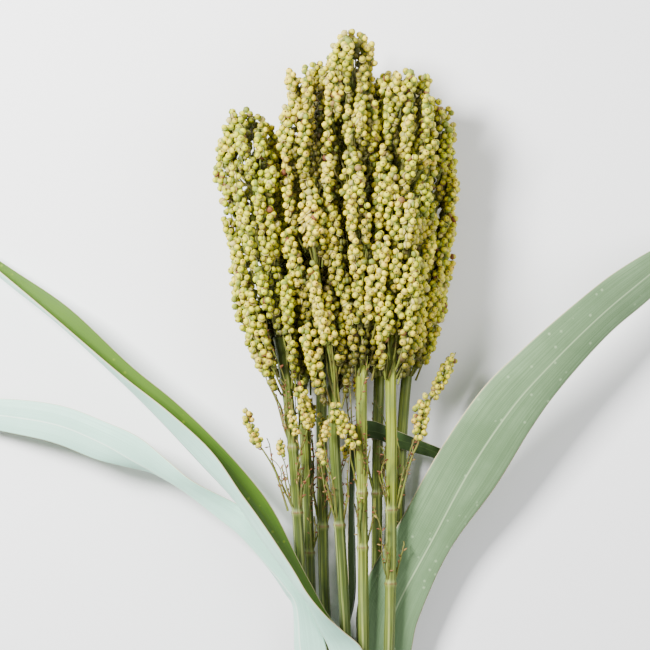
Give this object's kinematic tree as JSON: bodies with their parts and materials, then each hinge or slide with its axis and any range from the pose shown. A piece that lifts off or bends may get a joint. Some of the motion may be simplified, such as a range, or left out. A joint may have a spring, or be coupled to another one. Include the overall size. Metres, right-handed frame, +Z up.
{
  "type": "bunch of sorghum seed heads",
  "caption": "Bunch of cut sorghum stalks with compact grain seed heads and long arching leaves, tied with twine and laid down.",
  "frame": {"origin": "on the surface that the bunch lies on, under the middle of its overall length and width", "axes": "+Y along the bunch towards the seed heads, +X across it, +Z up from the surface"},
  "size_m": [0.5261, 0.575, 0.0823],
  "materials": {
    "seed": "rounded cream to yellow-green grains with a satin skin",
    "stalk": "smooth ribbed green stalk with paler nodes",
    "leaf_pale": "waxy grey-green underside, bright green upper side, pale midrib",
    "leaf_green": "dark green satin leaf",
    "twine": "twisted natural fibre"
  },
  "bodies": {
    "root": {"stalk_front_left": "stalk", "head_front_left": "seed", "stalk_front_mid_left": "stalk", "head_front_mid_left": "seed", "stalk_front_mid_right": "stalk", "head_front_mid_right": "seed", "stalk_front_right": "stalk", "head_front_right": "seed", "stalk_back_left": "stalk", "head_back_left": "seed", "stalk_back_mid_left": "stalk", "head_back_mid_left": "seed", "stalk_back_mid_right": "stalk", "head_back_mid_right": "seed", "stalk_back_right": "stalk", "head_back_right": "seed", "loose_raceme_left": "seed", "loose_raceme_right": "seed", "loose_raceme_far_right": "seed", "loose_raceme_middle": "seed", "loose_raceme_inner": "seed", "leaf_left_folded": "leaf_pale", "leaf_left_pale": "leaf_pale", "leaf_right": "leaf_pale", "leaf_back": "leaf_green", "tie": "twine"}
  },
  "joints": []
}
